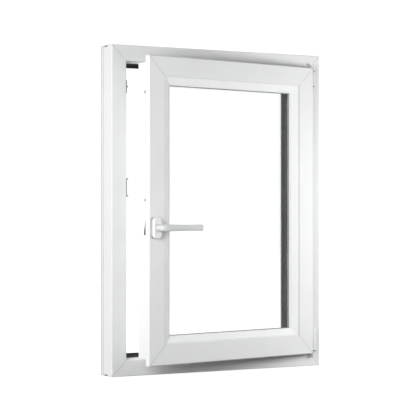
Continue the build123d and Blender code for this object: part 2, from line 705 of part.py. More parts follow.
def rosette():
    """Handle rosette with a bevelled rim and the neck's bearing hole."""
    plate = Plane.XZ * RectangleRounded(ROSETTE_WIDTH, ROSETTE_HEIGHT, ROSETTE_CORNER)
    body = extrude(plate, ROSETTE_THICKNESS)
    body = chamfer(body.faces().sort_by(Axis.Y)[0].edges(), ROSETTE_BEVEL)
    return body - Rot(90, 0, 0) * Cylinder(NECK_RADIUS + NECK_GAP, 3 * ROSETTE_THICKNESS)


def lever_blank():
    """Front outline of the lever, round at the neck and at the tip, cut through along Y."""
    root = LEVER_HEIGHT / 2
    tip = LEVER_TIP_HEIGHT / 2
    end = LEVER_LENGTH - tip
    front = make_face(Polyline((0, 0, -root), (end, 0, -tip), (end, 0, tip), (0, 0, root), close=True))
    blank = extrude(front, LEVER_LENGTH, dir=(0, 1, 0), both=True)
    blank += Rot(90, 0, 0) * Cylinder(root, 2 * LEVER_LENGTH)
    return blank + Pos(end, 0, 0) * Rot(90, 0, 0) * Cylinder(tip, 2 * LEVER_LENGTH)


def lever():
    """Handle lever: its plan outline crossed with its front outline, on a round journal."""
    out = -LEVER_STANDOFF
    inner = out + LEVER_THICKNESS
    start = -ROSETTE_THICKNESS - NECK_GAP
    taper = (LEVER_THICKNESS - LEVER_TIP_THICKNESS) / 2
    plan = [
        (-NECK_RADIUS, start, 0),
        (-NECK_RADIUS, out, ELBOW_RADIUS),
        (LEVER_LENGTH, out + taper, LEVER_EDGE),
        (LEVER_LENGTH, inner - taper, LEVER_EDGE),
        (NECK_RADIUS, inner, ELBOW_RADIUS - NECK_RADIUS),
        (NECK_RADIUS, start, 0),
    ]
    body = extrude(Rot(0, 90, 0) * Face(outline(plan)), LEVER_HEIGHT, dir=(0, 0, 1), both=True)
    grip = body & lever_blank()
    journal = Pos(0, start, 0) * Rot(-90, 0, 0) * Cylinder(NECK_RADIUS, ROSETTE_THICKNESS / 2, align=STAND)
    return grip + journal


def handle():
    """Rosette, the lever with its square spindle, and the gear case that the spindle drives."""
    half = SPINDLE_SIZE / 2
    back = -ROSETTE_THICKNESS - NECK_GAP + ROSETTE_THICKNESS / 2
    spindle = box_between((-half, back, -half), (half, SPINDLE_DEPTH, half))
    return {"handle_rosette": hang(handle_place() * rosette()),
            "handle_lever": hang(handle_place() * lever()),
            "handle_spindle": hang(handle_place() * spindle),
            "gear_case": hang(gear_case_block(GEAR_CASE_PROUD))}


def window():
    """Every node of the window by name."""
    nodes = {}
    for group in (frame_members(), sash_members(), glazing(), seals(), strikers(), faceplates(),
                  drive_rods(), sash_lifter(), upper_hinge(), lower_hinge(), handle()):
        nodes.update(group)
    for name in ("stay_arm", "lower_sash_band"):
        nodes["overlap_gasket"] -= nodes[name]
    return nodes


os.makedirs("parts", exist_ok=True)
for node, solid in window().items():
    export_step(solid, os.path.join("parts", node + ".step"))
    print(node, round(solid.volume / 1000.0, 1), "cm3")
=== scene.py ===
import math

import bpy
import numpy as np
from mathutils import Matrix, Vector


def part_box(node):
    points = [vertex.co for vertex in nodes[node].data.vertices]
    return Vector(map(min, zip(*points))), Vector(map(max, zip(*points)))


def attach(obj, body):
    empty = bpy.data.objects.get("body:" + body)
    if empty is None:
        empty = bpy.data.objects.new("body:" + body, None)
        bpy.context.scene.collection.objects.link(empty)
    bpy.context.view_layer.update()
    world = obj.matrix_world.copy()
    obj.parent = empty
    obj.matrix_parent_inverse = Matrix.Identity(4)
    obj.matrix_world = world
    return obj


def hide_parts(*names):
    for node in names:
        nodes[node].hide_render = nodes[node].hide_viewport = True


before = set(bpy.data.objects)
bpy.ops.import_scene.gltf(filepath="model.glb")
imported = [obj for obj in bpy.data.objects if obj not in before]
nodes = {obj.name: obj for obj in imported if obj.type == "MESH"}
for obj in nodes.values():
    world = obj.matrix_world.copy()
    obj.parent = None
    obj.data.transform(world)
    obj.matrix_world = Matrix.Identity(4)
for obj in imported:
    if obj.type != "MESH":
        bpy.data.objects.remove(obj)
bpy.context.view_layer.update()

# The window's own measures, in metres, as the part's source has them
FRAME_WIDTH = 0.840
FRAME_HEIGHT = 1.135
FRAME_DEPTH = 0.092
FRAME_FRONT = -FRAME_DEPTH / 2
SASH_INSET = 0.047
SASH_WIDTH = FRAME_WIDTH - 2 * SASH_INSET
SASH_HEIGHT = FRAME_HEIGHT - 2 * SASH_INSET
SASH_FRONT = FRAME_FRONT - 0.026
SWING = math.radians(10.3)
HINGE_X = SASH_WIDTH / 2 + 0.0105
HINGE_Y = FRAME_FRONT - 0.013
HANDLE_X = -SASH_WIDTH / 2 + 0.024
HANDLE_Z = 0.510
CORNER_NOTCH = 0.005

# The edge that carries the hardware, in from the edge of the sash's flange, and its groove's middle
HARDWARE_INSET = 0.0200
GROOVE_Y = SASH_FRONT + 0.035

# Lines that the plastic shows: seams, the joint of sash and bead with painted shade in it,
# and the frame's clip grooves
WIDE_SEAM = 0.0009
FINE_SEAM = 0.0003
BEAD_JOINT = 0.0692
BEAD_JOINT_SHADE_WIDTH = 0.0014
CLIP_GROOVES = (0.07025, 0.08425)
CLIP_GROOVE_WIDTH = 0.0016
CLIP_GROOVE_DEPTH = 0.0034


# Shader maths

class Value:
    """A socket that varies over a surface; arithmetic on it adds the Math nodes that work it out."""

    def __init__(self, owner, socket):
        self.owner = owner
        self.socket = socket

    def math(self, operation, *values, clamp=False):
        """Adds a Math node that works on the values."""
        settings = {"operation": operation, "use_clamp": clamp}
        return self.owner.node("ShaderNodeMath", settings, dict(enumerate(values)))

    def __add__(self, other):
        return self.math("ADD", self, other)

    def __radd__(self, other):
        return self.math("ADD", other, self)

    def __sub__(self, other):
        return self.math("SUBTRACT", self, other)

    def __rsub__(self, other):
        return self.math("SUBTRACT", other, self)

    def __mul__(self, other):
        return self.math("MULTIPLY", self, other)

    def __rmul__(self, other):
        return self.math("MULTIPLY", other, self)

    def __truediv__(self, other):
        return self.math("DIVIDE", self, other)

    def __rtruediv__(self, other):
        return self.math("DIVIDE", other, self)

    def __pow__(self, other):
        return self.math("POWER", self, other)

    def __abs__(self):
        return self.math("ABSOLUTE", self)

    def least(self, other):
        return self.math("MINIMUM", self, other)

    def most(self, other):
        return self.math("MAXIMUM", self, other)

    def ramp(self, low, high):
        """0 below low, 1 above high, and a straight rise between them."""
        return self.math("MULTIPLY", self - low, 1.0 / (high - low), clamp=True)

    def band(self, width):
        """1 where the value is 0, falling to 0 at a distance of width either side."""
        return self.math("SUBTRACT", 1.0, abs(self) / width, clamp=True)


class Nodes:
    """A node tree, of a material or of the world, that nodes are added to."""

    def __init__(self, tree):
        self.tree = tree

    def node(self, kind, settings=None, sockets=None, output=0):
        """Adds a node, gives it its settings, then values or links, and returns one of its outputs."""
        made = self.tree.nodes.new(kind)
        for key, value in (settings or {}).items():
            setattr(made, key, value)
        for key, value in (sockets or {}).items():
            self.put(made.inputs[key], value)
        return Value(self, made.outputs[output])

    def put(self, socket, value):
        """Links a varying value to a socket, or writes a constant on it."""
        if isinstance(value, Value):
            self.tree.links.new(value.socket, socket)
        else:
            socket.default_value = value

    def rays(self):
        """Three values, each 0 or 1: a ray is the camera's, a mirrored one, or one through glass."""
        outputs = self.node("ShaderNodeLightPath").socket.node.outputs
        kinds = ("Is Camera Ray", "Is Glossy Ray", "Is Transmission Ray")
        return [Value(self, outputs[kind]) for kind in kinds]


class Finish(Nodes):
    """One material: a Principled shader with its constants, and the nodes that feed it."""

    def __init__(self, name, **constants):
        self.material = bpy.data.materials.new(name)
        self.material.use_nodes = True
        super().__init__(self.material.node_tree)
        self.shader = self.tree.nodes["Principled BSDF"]
        for key, value in constants.items():
            self.shader.inputs[key.replace("_", " ")].default_value = value
        self.place = self.node("ShaderNodeTexCoord", output="Object")

    def feed(self, name, value):
        """Feeds one of the shader's own sockets."""
        self.put(self.shader.inputs[name], value)

    def parts(self, place):
        """The three coordinates of a place."""
        outputs = self.node("ShaderNodeSeparateXYZ", sockets={0: place}).socket.node.outputs
        return [Value(self, outputs[i]) for i in range(3)]

    def moved(self, place, turn=(0, 0, 0), shift=(0, 0, 0), scale=(1, 1, 1)):
        """The place scaled, turned and shifted."""
        return self.node("ShaderNodeMapping", {"vector_type": "POINT"},
                         {0: place, "Rotation": turn, "Location": shift, "Scale": scale})

    def noise(self, place, scale, detail=2.0, roughness=0.5):
        """Soft noise between 0 and 1 about 0.5."""
        return self.node("ShaderNodeTexNoise", None,
                         {"Vector": place, "Scale": scale, "Detail": detail, "Roughness": roughness})

    def blend(self, factor, first, second):
        """A colour between two colours."""
        return self.node("ShaderNodeMix", {"data_type": "RGBA"}, {0: factor, 6: first, 7: second}, 2)

    def bump(self, height, distance):
        """Feeds the shader's normal from a height."""
        sockets = {"Height": height, "Distance": distance, "Strength": 1.0}
        self.feed("Normal", self.node("ShaderNodeBump", None, sockets))


def toned(colour, factor, lift=0.0):
    """A colour times a factor, with the same lift added to its three parts."""
    return tuple(part * factor + lift for part in colour[:3]) + (1,)


def closed_place(finish):
    """Object coordinates of a sash piece, turned back to where it is in the closed window."""
    cos, sin = math.cos(SWING), math.sin(SWING)
    shift = (HINGE_X - cos * HINGE_X - sin * HINGE_Y, HINGE_Y + sin * HINGE_X - cos * HINGE_Y, 0)
    return finish.moved(finish.place, turn=(0, 0, -SWING), shift=shift)


PLASTIC_WHITE = (0.86, 0.865, 0.87, 1)
# The beads' white is lighter than the sash's: painted light standing for the light on their slopes
BEAD_WHITE_PAINTED_LIGHT = (0.93, 0.935, 0.94, 1)


def plastic(name, on_sash, along, seam, colour=PLASTIC_WHITE, rough=0.34):
    """White extruded plastic: draw lines along its length, a faint mottle, and a darker seam at
    the welded mitres, where a point is as far from the side as from the top or bottom. The sash has
    a dark line where the bead begins, with painted shade in that joint, strong on the upright sides
    and faint on the rails; the frame's outer edge has dark clip grooves."""
    finish = Finish(name, IOR=1.53)
    place = closed_place(finish) if on_sash else finish.place
    x, y, z = finish.parts(place)
    drawn = 0.012
    scale = {"x": (drawn, 1, 1), "z": (1, 1, drawn)}[along]
    lines = finish.noise(finish.moved(place, scale=scale), 900.0, 3.0)
    mottle = finish.noise(place, 7.0, 3.0, 0.6)
    grain = finish.noise(place, 1600.0, 2.0)
    inset = SASH_INSET if on_sash else 0.0
    side = FRAME_WIDTH / 2 - inset - abs(x)
    level = FRAME_HEIGHT / 2 - inset - abs(z - FRAME_HEIGHT / 2)
    edge = side.least(level)
    mitre = ((side - level) * math.sqrt(0.5)).band(seam)
    dark = toned(colour, 0.4)
    tone = finish.blend(mottle.ramp(0.35, 0.7), colour, toned(colour, 0.97))
    tone = finish.blend(mitre.ramp(0.25, 0.8), tone, dark)
    if on_sash:
        # Painted shade in the joint of sash and bead: strong on the upright sides, faint on the rails
        joint_and_shade = (edge - BEAD_JOINT).band(BEAD_JOINT_SHADE_WIDTH)
        joint_shade_share = {"x": 0.12, "z": 0.85}[along]
        tone = finish.blend(joint_and_shade.ramp(0.1, 0.6) * joint_shade_share, tone, dark)
    else:
        depth = y - FRAME_FRONT
        front, back = [(depth - groove).band(CLIP_GROOVE_WIDTH) for groove in CLIP_GROOVES]
        within = edge.ramp(0.0001, 0.0005) * (CLIP_GROOVE_DEPTH - edge).ramp(0.0, 0.0002)
        tone = finish.blend(front.most(back).ramp(0.05, 0.2) * within, tone, dark)
    finish.feed("Base Color", tone)
    finish.feed("Roughness", rough + (lines - 0.5) * 0.16 + (mottle - 0.5) * 0.08)
    finish.bump(lines * 0.5 + grain * 0.35 - mitre * 24.0, 0.00002)
    return finish.material


def metal(name, colour, rough, metallic=1.0, grain=900.0, stretch=(1, 1, 0.05)):
    """Drawn or plated metal: fine streaks along one way, and soft darker patches."""
    finish = Finish(name, Metallic=metallic)
    streaks = finish.noise(finish.moved(finish.place, scale=stretch), grain, 3.0)
    patches = finish.noise(finish.place, 38.0, 4.0, 0.6)
    finish.feed("Base Color", finish.blend(patches.ramp(0.4, 0.75), colour, toned(colour, 0.85)))
    finish.feed("Roughness", rough + (streaks - 0.5) * 0.25 + (patches - 0.5) * 0.12)
    finish.bump(streaks, 0.00003)
    return finish.material


def rubber(name, colour, rough=0.55):
    """Extruded rubber: matt, with a soft mottle and a fine grain."""
    finish = Finish(name)
    mottle = finish.noise(finish.place, 55.0, 3.0)
    grain = finish.noise(finish.place, 2200.0, 2.0)
    light = toned(colour, 1.35, lift=0.004)
    finish.feed("Base Color", finish.blend(mottle.ramp(0.3, 0.8), colour, light))
    finish.feed("Roughness", rough + (grain - 0.5) * 0.2)
    finish.bump(grain, 0.00004)
    return finish.material


def painted(name, colour, rough, grain=1400.0, depth=0.00003):
    """Powder coat or moulded plastic: a fine orange-peel skin with a soft change of gloss."""
    finish = Finish(name, IOR=1.5)
    peel = finish.noise(finish.place, grain, 2.0)
    mottle = finish.noise(finish.place, 18.0, 3.0)
    finish.feed("Base Color", finish.blend(mottle.ramp(0.35, 0.7), colour, toned(colour, 0.96)))
    finish.feed("Roughness", rough + (peel - 0.5) * 0.12 + (mottle - 0.5) * 0.08)
    finish.bump(peel, depth)
    return finish.material


def clear_glass(name):
    """Float glass: clear, with the faintest green and a slight unevenness of its shine."""
    finish = Finish(name, IOR=1.46, Transmission_Weight=1.0)
    film = finish.noise(finish.place, 3.0, 2.0)
    finish.feed("Base Color", finish.blend(film, (0.996, 1.0, 0.998, 1), (0.992, 0.999, 0.996, 1)))
    finish.feed("Roughness", film * 0.004)
    return finish.material


def spacer_metal(name, colour):
    """Spacer bar between the panes: matt, with a row of faint fine holes along it."""
    finish = Finish(name, Metallic=0.1)
    x, _, z = finish.parts(closed_place(finish))
    holes_per_metre = 250.0
    run = (x + z) * holes_per_metre
    hole = (run.math("FRACT", run) - 0.5).band(0.3)
    mottle = finish.noise(finish.place, 30.0, 2.0)
    tone = finish.blend(mottle, colour, toned(colour, 1.12))
    finish.feed("Base Color", finish.blend(hole * 0.2, tone, toned(colour, 0.24)))
    finish.feed("Roughness", 0.55 + mottle * 0.15)
    finish.bump(mottle, 0.00003)
    return finish.material


frame_upright = plastic("frame_plastic_upright", False, "z", WIDE_SEAM)
frame_level = plastic("frame_plastic_level", False, "x", WIDE_SEAM)
sash_upright = plastic("sash_plastic_upright", True, "z", WIDE_SEAM)
sash_level = plastic("sash_plastic_level", True, "x", WIDE_SEAM)
bead_upright = plastic("bead_plastic_upright", True, "z", FINE_SEAM, BEAD_WHITE_PAINTED_LIGHT, 0.3)
bead_level = plastic("bead_plastic_level", True, "x", FINE_SEAM, BEAD_WHITE_PAINTED_LIGHT, 0.3)
black_seal = rubber("black_seal_rubber", (0.018, 0.018, 0.02, 1))
grey_seal = rubber("grey_glazing_rubber", (0.2, 0.205, 0.21, 1))
plated = metal("zinc_plated_steel", (0.66, 0.67, 0.68, 1), 0.33)
dark_casting = metal("dark_zinc_casting", (0.2, 0.2, 0.21, 1), 0.5, metallic=0.6, grain=1500.0,
                     stretch=(1, 1, 1))
white_coat = painted("white_powder_coat", (0.85, 0.855, 0.86, 1), 0.36)
# The lever's coat is darker than the rosette's white: painted shade for the shading of the lever
lever_coat_painted_shade = painted("lever_gloss_coat_painted_shade", (0.72, 0.725, 0.73, 1), 0.2, 900.0, 0.00002)
rosette_coat = painted("rosette_gloss_coat", PLASTIC_WHITE, 0.24, 900.0, 0.00002)
white_cap = painted("white_moulded_cap", PLASTIC_WHITE, 0.26, 1800.0, 0.00002)
black_part = painted("black_moulded_part", (0.02, 0.02, 0.022, 1), 0.45)
# The rosette's grey base: a grey part whose tone is also painted shade on the rosette's side
grey_base_and_shade = painted("grey_base_plastic_and_painted_shade", (0.47, 0.475, 0.48, 1), 0.4)
grey_block = rubber("grey_corner_rubber", (0.12, 0.12, 0.125, 1))
black_butyl = rubber("black_butyl", (0.012, 0.012, 0.013, 1), 0.4)
glass = clear_glass("float_glass")
grey_spacer = spacer_metal("grey_spacer_bar", (0.68, 0.685, 0.69, 1))
black_spacer = spacer_metal("black_spacer_bar", (0.022, 0.022, 0.024, 1))

# The solids' finishes; the others, all of them small hardware, are zinc plated
finishes = {
    "frame_sill": frame_level, "frame_head": frame_level,
    "frame_lock_jamb": frame_upright, "frame_hinge_jamb": frame_upright,
    "sash_bottom_rail": sash_level, "sash_top_rail": sash_level,
    "sash_lock_stile": sash_upright, "sash_hinge_stile": sash_upright,
    "bead_bottom": bead_level, "bead_top": bead_level,
    "bead_lock_side": bead_upright, "bead_hinge_side": bead_upright,
    "pane_inner": glass, "pane_middle": glass, "pane_outer": glass,
    "spacer_inner": grey_spacer, "spacer_outer": black_spacer,
    "glazing_gasket_inner": grey_seal, "glazing_gasket_outer": grey_seal,
    "stop_gasket": black_seal, "centre_gasket": black_seal, "overlap_gasket": black_seal,
    "striker_main": dark_casting, "striker_upper": dark_casting, "striker_tilt": dark_casting,
    "gear_case": dark_casting, "sash_lifter": black_part, "drive_rod": dark_casting,
    "upper_frame_bearing": white_coat, "upper_hinge_pin": white_coat,
    "lower_frame_bearing": white_coat, "lower_hinge_cap": white_cap,
    "handle_rosette": white_coat, "handle_lever": white_coat,
}
for name, node in nodes.items():
    material = finishes.get(name, plated)
    if not node.material_slots:
        node.data.materials.append(material)
    for held in node.material_slots:
        held.material = material


# Shapes

def swung(points):
    """Points of the closed window, turned open about the hinge axis."""
    cos, sin = math.cos(SWING), math.sin(SWING)
    x = points[..., 0] - HINGE_X
    y = points[..., 1] - HINGE_Y
    return np.stack([HINGE_X + cos * x - sin * y, HINGE_Y + sin * x + cos * y, points[..., 2]], -1)


def surface(name, points, material, body="window", ends=False, ring=False, instead=(),
            smooth=True):
    """A piece made of grids of points, rows by columns by three. Each row closes on itself; with
    ring, so do the columns, and with ends, the first and last rows are filled. Several grids make
    one piece. It stands instead of the solids that are named."""
    grids = points if isinstance(points, list) else [points]
    places, faces, start = [], [], 0
    for grid in grids:
        rows, columns = grid.shape[:2]
        index = np.arange(rows * columns).reshape(rows, columns) + start
        index = np.concatenate([index, index[:, :1]], 1)
        if ring:
            index = np.concatenate([index, index[:1]], 0)
        quads = np.stack([index[:-1, :-1], index[:-1, 1:], index[1:, 1:], index[1:, :-1]], -1)
        faces += quads.reshape(-1, 4).tolist()
        if ends:
            faces += [index[0, :columns][::-1].tolist(), index[-1, :columns].tolist()]
        places.append(grid.reshape(-1, 3))
        start += rows * columns
    mesh = bpy.data.meshes.new(name)
    mesh.from_pydata(np.concatenate(places).tolist(), [], faces)
    if smooth:
        mesh.polygons.foreach_set("use_smooth", np.ones(len(faces), bool))
    mesh.materials.append(material)
    piece = bpy.data.objects.new(name, mesh)
    bpy.context.scene.collection.objects.link(piece)
    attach(piece, body)
    if instead:
        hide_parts(*instead)


def heights(node):
    """Lowest and highest level of a node."""
    box_low, box_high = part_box(node)
    return box_low[2], box_high[2]


def round_angles(count):
    """Angles of evenly spaced points round a circle."""
    return np.linspace(0, 2 * math.pi, count, endpoint=False)


def soft_square(count, power):
    """Points round a section: the cosine and the sine of the angle, each to a power that leaves its
    sign. A power of 1 gives a circle, and less makes the section squarer."""
    cos, sin = np.cos(round_angles(count)), np.sin(round_angles(count))
    return np.sign(cos) * np.abs(cos) ** power, np.sign(sin) * np.abs(sin) ** power


def rounded(width, height, corner):
    """Points round a rectangle with round corners, evenly spaced along its edge, in a plane. The
    edge is eight runs, a straight one and a quarter circle by turns from the lower right, and the
    point at length s along it is s less the lengths before along the run that it falls on."""
    count = 96
    a, b = width / 2 - corner, height / 2 - corner
    arc = math.pi / 2 * corner
    runs = np.cumsum([0, 2 * b, arc, 2 * a, arc, 2 * b, arc, 2 * a, arc])
    s = np.arange(count) / count * runs[-1]
    part = np.clip(np.searchsorted(runs, s, side="right") - 1, 0, 7)
    t = s - runs[part]
    side = part // 2
    corner_x = np.array([a, -a, -a, a])[side]
    corner_y = np.array([b, b, -b, -b])[side]
    angle = side * math.pi / 2 + t / corner
    on_arc = np.stack([corner_x + corner * np.cos(angle), corner_y + corner * np.sin(angle)], -1)
    start = np.array([[a + corner, -b], [a, b + corner], [-a - corner, b], [-a, -b - corner]])[side]
    way = np.array([[0, 1], [-1, 0], [0, -1], [1, 0]])[side]
    on_line = start + way * t[:, None]
    return np.where((part % 2 == 0)[:, None], on_line, on_arc)


# The handle

# The lever's path and section, from where the spindle meets the sash's face
LEVER_INSIDE = -0.0130
LEVER_OUT = -0.0534
LEVER_ELBOW = 0.0125
LEVER_LENGTH = 0.1648
NECK_RADIUS = 0.0106
LEVER_TIP = 0.0055
LEVER_BOW = 0.0038
NECK_ROWS, BEND_ROWS, GRIP_ROWS = 9, 14, 41

# How the lever's half width and half height change from the neck's radius
BEND_THINS, GRIP_THINS = 0.0047, 0.0019
BEND_RISES, GRIP_SINKS, WAIST_SINKS = 0.0018, 0.0014, 0.0013

# The rosette, and the circle that its cover narrows to round the lever's neck
ROSETTE_WIDTH = 0.036
ROSETTE_HEIGHT = 0.074
ROSETTE_CORNER = 0.015
COVER_FOOT = 0.0104
COVER_WALL = 0.0146
COVER_TOP = 0.0200
COVER_ROUND = 0.0054
COVER_HOLE = 0.0111


def from_handle(points):
    """Points given from where the spindle meets the sash's face, put in place on the open sash."""
    return swung(points + np.array([HANDLE_X, SASH_FRONT, HANDLE_Z]))


def lever_shape():
    """The lever: an oval section carried out of the rosette, round the elbow and along the grip,
    which bows towards the sash by a sine. The section at angle t is half its width times a power of
    cos t across the path, and half its height times the same power of sin t; both sizes change
    along the path, and the tip rounds off."""
    grip_length = LEVER_LENGTH - LEVER_ELBOW
    bend_y = LEVER_OUT + LEVER_ELBOW
    neck = np.stack([np.zeros(NECK_ROWS), np.linspace(LEVER_INSIDE, bend_y, NECK_ROWS)], -1)
    turn = np.linspace(0, math.pi / 2, BEND_ROWS + 1)[1:]
    bend = np.stack([LEVER_ELBOW - LEVER_ELBOW * np.cos(turn), bend_y - LEVER_ELBOW * np.sin(turn)], -1)
    reach = LEVER_ELBOW + grip_length * (1 - (1 - np.linspace(0, 1, GRIP_ROWS + 1)[1:]) ** 1.5)
    bow = LEVER_BOW * np.sin(math.pi * ((reach - LEVER_ELBOW) / grip_length) ** 1.4)
    grip = np.stack([reach, LEVER_OUT + bow], -1)
    path = np.concatenate([neck, bend, grip])

    # At each point of the path, how much of the bend and of the grip lies behind it
    bent = np.concatenate([np.zeros(NECK_ROWS), turn / (math.pi / 2), np.ones(GRIP_ROWS)])
    share = np.clip((path[:, 0] - LEVER_ELBOW) / grip_length, 0, 1)
    waist = np.sin(math.pi * share ** 0.8)
    wide = NECK_RADIUS - BEND_THINS * bent ** 1.5 - GRIP_THINS * share
    tall = NECK_RADIUS + BEND_RISES * bent ** 0.7 - GRIP_SINKS * share - WAIST_SINKS * waist
    left = np.clip((LEVER_LENGTH - path[:, 0]) / LEVER_TIP, 0, 1)
    tip = np.sqrt(np.clip(1 - (1 - left) ** 2.4, 0.0004, 1))
    wide = wide * tip
    tall = tall * (0.25 + 0.75 * tip)

    power = (1.0 - 0.3 * bent + 0.25 * waist)[:, None]
    cos, sin = soft_square(40, power)
    way = np.stack([np.sin(bent * math.pi / 2), -np.cos(bent * math.pi / 2)], -1)
    across = wide[:, None] * cos
    x = path[:, :1] + way[:, 1:] * across
    y = path[:, 1:] - way[:, :1] * across
    return from_handle(np.stack([x, y, tall[:, None] * sin], -1))


def rosette_rings(rings):
    """Rounded-rectangle outlines stacked outwards from the sash. Each ring is (inset, depth,
    roundness): at roundness 1 the outline has become the circle round the lever's neck."""
    rows = []
    for inset, depth, roundness in rings:
        edge = rounded(ROSETTE_WIDTH - 2 * inset, ROSETTE_HEIGHT - 2 * inset,
                       ROSETTE_CORNER - inset * 0.8)
        circle = COVER_HOLE * edge / np.linalg.norm(edge, axis=1)[:, None]
        flat = edge * (1 - roundness) + circle * roundness
        rows.append(np.stack([flat[:, 0], np.full(len(flat), -depth), flat[:, 1]], -1))
    return from_handle(np.stack(rows))


cover = [(0.0016, COVER_FOOT, 0), (0.0003, COVER_FOOT, 0), (0.0, COVER_FOOT + 0.0004, 0),
         (0.0, COVER_WALL, 0)]
cover += [(COVER_ROUND * (1 - math.cos(a)), COVER_WALL + (COVER_TOP - COVER_WALL) * math.sin(a), 0)
          for a in np.linspace(0.12, math.pi / 2, 12)]
cover += [(COVER_ROUND, COVER_TOP - 0.0002 * blend, blend) for blend in (0.15, 0.4, 0.7, 0.95)]
cover += [(COVER_ROUND, COVER_TOP - 0.0004, 1), (COVER_ROUND, 0.0120, 1)]
base = [(0.0030, 0.0, 0), (0.0007, 0.0, 0), (0.0007, 0.0101, 0), (0.0030, 0.0106, 0)]
surface("lever", lever_shape(), lever_coat_painted_shade, "handle", ends=True, instead=("handle_lever",))
surface("rosette_cover", rosette_rings(cover), rosette_coat, instead=("handle_rosette",))
# The rosette's base, grey partly as painted shade on its side
surface("rosette_base", rosette_rings(base), grey_base_and_shade)


# The hinges

CAP_RADIUS = 0.0118
CAP_DOME = 0.0072
PIN_RADIUS = 0.0031
FOOT_WASHER = 0.0106
KNUCKLE_WASHER = 0.0072
SLEEVE_INNER = 0.0060
SLEEVE_OUTER = 0.0071
SLACK = 0.0001


def hinge_lathe(profile, swings=False):
    """A profile of (radius, height) turned about the hinge axis: the point at angle t is the radius
    times (cos t, sin t) from the axis, at its height. Rows follow the profile. With swings, the
    shape is turned open with the sash."""
    profile = np.asarray(profile, float)
    radius, height = profile[:, :1], profile[:, 1:]
    turn = round_angles(48)
    x = HINGE_X + radius * np.cos(turn)
    y = HINGE_Y + radius * np.sin(turn)
    shape = np.stack([x, y, height + 0 * turn], -1)
    return swung(shape) if swings else shape


def washer(low, high, radius):
    """A bearing washer round the hinge pin: a square ring with its outer edges just broken."""
    edge = 0.0002
    return [(PIN_RADIUS, low), (radius - edge, low), (radius, low + edge), (radius, high - edge),
            (radius - edge, high), (PIN_RADIUS, high)]


cap_low, cap_high = heights("lower_hinge_cap")
foot_top = heights("lower_frame_bearing")[1]
bearing_top = heights("upper_frame_bearing")[1]
arm_low, arm_high = heights("stay_arm")

# The lower hinge's cover, with a fine groove round it under the dome
cap = [(0.0036, cap_low), (CAP_RADIUS - 0.0008, cap_low), (CAP_RADIUS, cap_low + 0.0008),
       (CAP_RADIUS, cap_low + 0.0060), (CAP_RADIUS - 0.0004, cap_low + 0.0066),
       (CAP_RADIUS - 0.0004, cap_low + 0.0074), (CAP_RADIUS, cap_low + 0.0080)]
cap += [(CAP_RADIUS * math.cos(a), cap_high - CAP_DOME + CAP_DOME * math.sin(a))
        for a in np.linspace(0, math.pi / 2 - 0.02, 12)]
surface("lower_hinge_cover", hinge_lathe(cap, swings=True), white_cap, ends=True,
        instead=("lower_hinge_cap",))

washers = [washer(foot_top + SLACK, cap_low - SLACK, FOOT_WASHER),
           washer(bearing_top + SLACK, arm_low - SLACK, KNUCKLE_WASHER),
           washer(arm_high - 0.0009, arm_high + 0.0009, KNUCKLE_WASHER)]
sleeve = [(SLEEVE_INNER, arm_low + 0.0002), (SLEEVE_OUTER - 0.0002, arm_low + 0.0002),
          (SLEEVE_OUTER, arm_low + 0.0005), (SLEEVE_OUTER, arm_high - 0.0014),
          (SLEEVE_OUTER - 0.0002, arm_high - 0.0011), (SLEEVE_INNER, arm_high - 0.0011)]
surface("knuckle_sleeve", hinge_lathe(sleeve), white_cap, ring=True)
surface("hinge_washers", [hinge_lathe(profile) for profile in washers], black_part,
        ring=True)


# The sash lifter and the frame's corners

# The lifter's ends from the handle's level, and its reach and depth at the top and what they gain
LIFTER_BELOW, LIFTER_ABOVE = 0.025, 0.033
LIFTER_REACH, REACH_GAIN = 0.003, 0.007
LIFTER_DEPTH, DEPTH_GAIN = 0.0042, 0.0038
HALF_GROOVE = 0.008


def lifter_shape():
    """The ramp that lifts the sash as it shuts: a rounded block on the sash's edge. Going down by u
    from 0 to 1 its reach grows as u to the power 1.3, up to four fifths of the way, and its depth
    in step with u."""
    low, high = HANDLE_Z - LIFTER_BELOW, HANDLE_Z + LIFTER_ABOVE
    u = np.array([0.0, 0.004, 0.02, 0.2, 0.4, 0.6, 0.8, 0.98, 0.996, 1.0])[:, None]
    end = np.array([0.7, 0.9, 1.0, 1.0, 1.0, 1.0, 1.0, 1.0, 0.9, 0.7])[:, None]
    reach = LIFTER_REACH + REACH_GAIN * np.clip(u / 0.8, 0, 1) ** 1.3
    deep = LIFTER_DEPTH + DEPTH_GAIN * u
    across, back = soft_square(32, 0.3)
    x = -SASH_WIDTH / 2 + HARDWARE_INSET - reach / 2 + end * reach / 2 * across
    y = GROOVE_Y + HALF_GROOVE - deep / 2 + end * deep / 2 * back
    return swung(np.stack([x, y, high + (low - high) * u + 0 * x], -1))


def corner_plug(side, low):
    """A plug in the notch of a frame corner, on the side of -1 or 1 and up from a level: a square
    section with round corners, carried from front to back, and a little smaller at both ends."""
    width = CORNER_NOTCH - 0.0003
    half = width / 2 * np.array([0.80, 0.94, 1.0, 1.0, 0.94, 0.80])[:, None]
    y = FRAME_FRONT + np.array([0.0342, 0.0347, 0.0356, 0.0604, 0.0613, 0.0618])[:, None]
    across, rise = soft_square(32, 0.35)
    x = side * (FRAME_WIDTH / 2 - CORNER_NOTCH / 2) + half * across
    return np.stack([x, y + 0 * x, low + CORNER_NOTCH / 2 + half * rise], -1)


surface("lifter_ramp", lifter_shape(), black_part, ends=True, instead=("sash_lifter",))
plugs = [corner_plug(side, low) for side in (-1, 1) for low in (0.0, FRAME_HEIGHT - CORNER_NOTCH)]
surface("corner_plugs", plugs, grey_block, ends=True)


# The glazing's seals

# Where the seals begin and end, across from the sash's edge and deep from its room side
RIM_ACROSS = (0.0728, 0.0738)
RIM_DEEP = (0.0302, 0.0738)
BUTYL_ACROSS = (0.0765, 0.0872)
MIDDLE_PANE = (0.050, 0.054)
BUTYL_THICK = 0.0021
BUTYL_GAP = 0.00005


